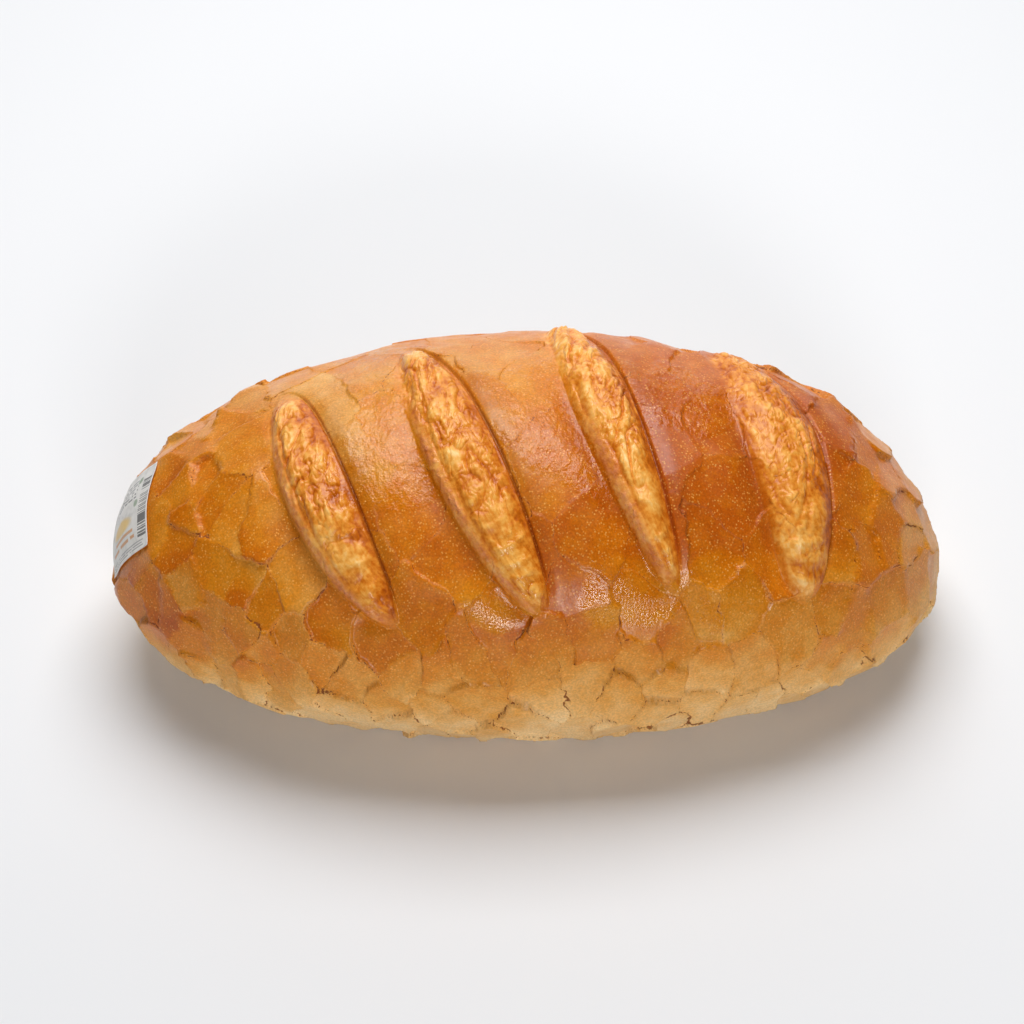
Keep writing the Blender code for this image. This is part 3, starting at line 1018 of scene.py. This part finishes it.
wall_streaks = streaks(tree, 0.0010, 0.0080)
streak_level = between(tree, wall_streaks, 0.3, 0.7, -0.07, 0.07)
dough_level = plus(tree, stored(tree, "dough_pale"), streak_level)
dough_level = plus(tree, dough_level, unevenness(tree, 0.0018, 0.12))
dough_colour = ramp(tree, dough_level, DOUGH_STOPS)
# The rim's pink is partly the lip's own colour and partly painted sheen on the raised lip.
rim_mottle = between(tree, grain(tree, 0.0014, 3.0), 0.38, 0.62)
rim_amount = times(tree, stored(tree, "rim"), between(tree, rim_mottle, 0.0, 1.0, 0.45, 0.95))
dough_colour = paint(tree, dough_colour, linear(*RIM_PINK_AND_SHEEN), rim_amount)
# Painted shade: the fold map darkens the dough in the crease and the valley of each cut.
dark_folds = times(tree, stored(tree, "fold_brown_and_shade"), 0.75)
dough_colour = paint(tree, dough_colour, linear(*DOUGH_FOLD_BROWN_AND_SHADE), dark_folds)
cover = plus(tree, stored(tree, "dough"), unevenness(tree, 0.0035, 0.22))
cover = between(tree, cover, 0.22, 0.78)
colour = paint(tree, crust_colour, dough_colour, cover)
tree.links.new(colour, shader.inputs["Base Color"])
loaf_mesh.materials.append(crust)
print("crust material has", len(tree.nodes), "nodes")

# %% [markdown]
# Gloss comes from roughness: the glazed spots are the smoothest, the foot is floury and dull, so are
# the edges of the plates, and noise breaks the highlights up. Bump adds only the finest wrinkles and
# grit, which are too small for the mesh.

# %% Crust gloss and bump
CRUST_SPECULAR = 0.30
roughness = between(tree, stored(tree, "bake"), 0.15, 0.60, 0.48, 0.30)
roughness = plus(tree, roughness, between(tree, grain(tree, 0.005), 0.35, 0.65, -0.04, 0.08))
roughness = plus(tree, roughness, between(tree, stored(tree, "leathery"), 0.0, 1.0, 0.02, -0.16))
edge_dullness = times(tree, between(tree, stored(tree, "gap"), 0.15, 0.90, 0.30, 0.0), off_dough)
roughness = plus(tree, roughness, edge_dullness)
tree.links.new(roughness, shader.inputs["Roughness"])
shader.inputs["Specular IOR Level"].default_value = CRUST_SPECULAR

LEATHER_MM = (0.03, 0.18)
GRIT_MM = (0.035, 0.11)
STREAK_MM = 0.08
MOTTLE_MM = 0.14
on_crown = times(tree, stored(tree, "leathery"), stored(tree, "whole_skin"))
leather_depth = between(tree, on_crown, 0.0, 1.0, *LEATHER_MM)
leather = times(tree, grain(tree, 0.0015, 3.0, (1.5, 1.0, 1.0), 0.6), leather_depth)
grit_depth = between(tree, stored(tree, "leathery"), 0.0, 1.0, *GRIT_MM)
folds = times(tree, times(tree, wall_streaks, STREAK_MM), stored(tree, "dough"))
mottled = times(tree, times(tree, rim_mottle, stored(tree, "rim")), MOTTLE_MM)
fine_height = plus(tree, leather, plus(tree, folds, mottled))
fine_height = plus(tree, fine_height, times(tree, grain(tree, 0.0006, 1.0), grit_depth))
fine_bump = tree.nodes.new("ShaderNodeBump")
fine_bump.inputs["Strength"].default_value = 1.0
fine_bump.inputs["Distance"].default_value = 0.001
tree.links.new(fine_height, fine_bump.inputs["Height"])
tree.links.new(fine_bump.outputs["Normal"], shader.inputs["Normal"])
print("with gloss and bump it has", len(tree.nodes), "nodes")

# %% [markdown]
# ## The label
#
# The label is a small rectangle of thin paper that was pressed onto the raw dough and baked with
# it. It follows the round of the left end but bridges the dips between plates. We lay a fine grid
# against the crust by shooting rays at it, then let each point settle towards its neighbours, never
# below the crust. A thin solid gives it an edge.

# %% Label sheet
LABEL_LONG = 0.0315
LABEL_WIDE = 0.028
LABEL_TURN = -0.30
LABEL_LEAN = 0.48
LABEL_YAW = 0.05
LABEL_CELLS = (68, 64)
LABEL_CLEAR = 0.00035
LABEL_THICKNESS = 0.00015
SETTLING_STEPS = 60
RAY_START = 0.03
RAY_REACH = 0.2


def label_axes():
    """Unit vectors of the label: along its bar side, across it, and out of its face."""
    level = Vector((-math.cos(LABEL_YAW), -math.sin(LABEL_YAW), 0.0))
    face = level * math.cos(LABEL_LEAN) + Vector((0.0, 0.0, math.sin(LABEL_LEAN)))
    flat = face.cross(Vector((0.0, 0.0, 1.0))).normalized()
    long_side = flat * math.cos(LABEL_TURN) + face.cross(flat) * math.sin(LABEL_TURN)
    return long_side, face.cross(long_side), face


def settled(height):
    """Lets a sheet of heights relax between its highest supports."""
    resting = height.copy()
    for _ in range(SETTLING_STEPS):
        padded = np.pad(resting, 1, mode="edge")
        around = (padded[2:, 1:-1] + padded[:-2, 1:-1] + padded[1:-1, 2:] + padded[1:-1, :-2]) / 4
        resting = np.maximum(height, around)
    return resting


long_axis, wide_axis, face_axis = label_axes()
crust_tree = bvhtree.BVHTree.FromPolygons(
    [tuple(place) for place in surface], [tuple(polygon.vertices) for polygon in loaf_mesh.polygons]
)
steps_long = np.linspace(-0.5, 0.5, LABEL_CELLS[0] + 1) * LABEL_LONG
steps_wide = np.linspace(-0.5, 0.5, LABEL_CELLS[1] + 1) * LABEL_WIDE
start = Vector(LABEL_MIDDLE) + face_axis * RAY_START
depth = np.zeros((len(steps_long), len(steps_wide)))
for row, u in enumerate(steps_long):
    for column, v in enumerate(steps_wide):
        ray = crust_tree.ray_cast(start + long_axis * u + wide_axis * v, -face_axis, RAY_REACH)
        depth[row, column] = RAY_START - ray[3]
rest = settled(depth) + LABEL_CLEAR
print("label rests up to", round(float(np.ptp(rest)) * 1000, 1), "mm lower at its edges")

# %% Label mesh
label_mesh = bpy.data.meshes.new("paper_label")
corners = [
    Vector(LABEL_MIDDLE) + long_axis * u + wide_axis * v + face_axis * rest[row, column]
    for row, u in enumerate(steps_long)
    for column, v in enumerate(steps_wide)
]
across = len(steps_wide)
faces = [
    tuple(row * across + column + step for step in (0, 1, across + 1, across))
    for row in range(LABEL_CELLS[0])
    for column in range(LABEL_CELLS[1])
]
label_mesh.from_pydata(corners, [], faces)
print("label sheet", [round(value * 1000, 1) for value in (LABEL_LONG, LABEL_WIDE)], "mm before draping")

# %% Label piece
print_map = label_mesh.uv_layers.new(name="print_map")
for loop in label_mesh.loops:
    row, column = divmod(loop.vertex_index, across)
    print_map.data[loop.index].uv = (1 - row / LABEL_CELLS[0], column / LABEL_CELLS[1])
label_mesh.shade_smooth()
label = bpy.data.objects.new("paper_label", label_mesh)
scene.collection.objects.link(label)
thick = label.modifiers.new("thickness", "SOLIDIFY")
thick.thickness = LABEL_THICKNESS
thick.offset = 1.0
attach(label, "root")
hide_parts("label")
print("label has", len(label_mesh.polygons), "cells")

# %% [markdown]
# The print on the label is small: a strip of bars along one side, rows of short grey and orange
# strokes, a soft yellow patch and two green spots. We don't paint a picture for it. The sheet has a
# map of two numbers, u along the bars and v away from them, and every mark is a test on these two.

# %% Marks for the print
def within(tree, value, low, high, soft=0.006):
    """1 where the value lies between low and high, with a thin soft edge."""
    rising = between(tree, value, low - soft, low + soft)
    return times(tree, rising, between(tree, value, high - soft, high + soft, 1.0, 0.0))


def steps_of(tree, value, count):
    """The whole-number step that the value is in when 0 to 1 is cut into count steps."""
    return figure(tree, "FLOOR", times(tree, value, count))


def dice(tree, one, other, above):
    """1 for a random choice of pairs of steps, 0 for the others; above is the share left out."""
    joined = tree.nodes.new("ShaderNodeCombineXYZ")
    plug(tree, joined.inputs["X"], one)
    plug(tree, joined.inputs["Y"], other)
    node = tree.nodes.new("ShaderNodeTexWhiteNoise")
    tree.links.new(joined.outputs["Vector"], node.inputs["Vector"])
    return figure(tree, "GREATER_THAN", node.outputs["Value"], above)


def stroke_rows(tree, u, v, rows, strokes, box, above):
    """Rows of short strokes in a box (low u, high u, low v, high v) of the label."""
    place_in_row = figure(tree, "FRACT", times(tree, u, rows))
    line = within(tree, place_in_row, 0.22, 0.70, 0.08)
    marks = dice(tree, steps_of(tree, u, rows), steps_of(tree, v, strokes), above)
    inside = times(tree, within(tree, u, box[0], box[1]), within(tree, v, box[2], box[3]))
    return times(tree, inside, times(tree, line, marks))


def patch(tree, u, v, middle, size):
    """A soft oval spot, 1 in its middle."""
    parts = [
        figure(tree, "POWER", figure(tree, "DIVIDE", figure(tree, "SUBTRACT", value, centre), reach), 2.0)
        for value, centre, reach in zip((u, v), middle, size)
    ]
    return between(tree, plus(tree, *parts), 0.3, 1.2, 1.0, 0.0)


# %% Printed paper
PAPER = (236, 232, 226)
INK = (52, 50, 50)
GREY_INK = (96, 94, 94)
GREEN_INK = (110, 140, 98)
YELLOW_INK = (240, 196, 92)
ORANGE_INK = (214, 142, 58)
PAPER_SHADE = (214, 210, 204)
PAPER_ROUGHNESS = 0.42
PAPER_CREASE = 0.0002
BAR_STEPS = 104

paper, tree, shader = new_material("printed_paper")
map_node = tree.nodes.new("ShaderNodeUVMap")
map_node.uv_map = "print_map"
split = tree.nodes.new("ShaderNodeSeparateXYZ")
tree.links.new(map_node.outputs["UV"], split.inputs["Vector"])
u, v = split.outputs["X"], split.outputs["Y"]
bars = dice(tree, steps_of(tree, u, BAR_STEPS), 0.0, 0.50)
bars = times(tree, bars, within(tree, u, 0.10, 0.86))
bars = times(tree, bars, within(tree, v, 0.03, 0.19))
marks = (
    (YELLOW_INK, patch(tree, u, v, (0.60, 0.62), (0.10, 0.30)), 0.85),
    (ORANGE_INK, stroke_rows(tree, u, v, 13, 17, (0.70, 0.86, 0.26, 0.92), 0.25), 0.80),
    (GREY_INK, stroke_rows(tree, u, v, 22, 30, (0.08, 0.36, 0.28, 0.94), 0.30), 0.80),
    (GREY_INK, stroke_rows(tree, u, v, 34, 40, (0.89, 0.97, 0.10, 0.96), 0.12), 0.55),
    (GREEN_INK, patch(tree, u, v, (0.14, 0.27), (0.05, 0.05)), 0.80),
    (GREEN_INK, patch(tree, u, v, (0.42, 0.27), (0.05, 0.05)), 0.70),
    (INK, bars, 0.80),
)
shading = between(tree, grain(tree, 0.004), 0.42, 0.70)
paper_colour = paint(tree, linear(*PAPER), linear(*PAPER_SHADE), shading)
for ink, shape, strength in marks:
    paper_colour = paint(tree, paper_colour, linear(*ink), times(tree, shape, strength))
tree.links.new(paper_colour, shader.inputs["Base Color"])
shader.inputs["Roughness"].default_value = PAPER_ROUGHNESS
creases = tree.nodes.new("ShaderNodeBump")
creases.inputs["Strength"].default_value = 1.0
creases.inputs["Distance"].default_value = PAPER_CREASE
tree.links.new(grain(tree, 0.0030, 2.0, (1.0, 1.0, 0.5)), creases.inputs["Height"])
tree.links.new(creases.outputs["Normal"], shader.inputs["Normal"])
label_mesh.materials.append(paper)
print("label print has", len(marks), "kinds of mark")
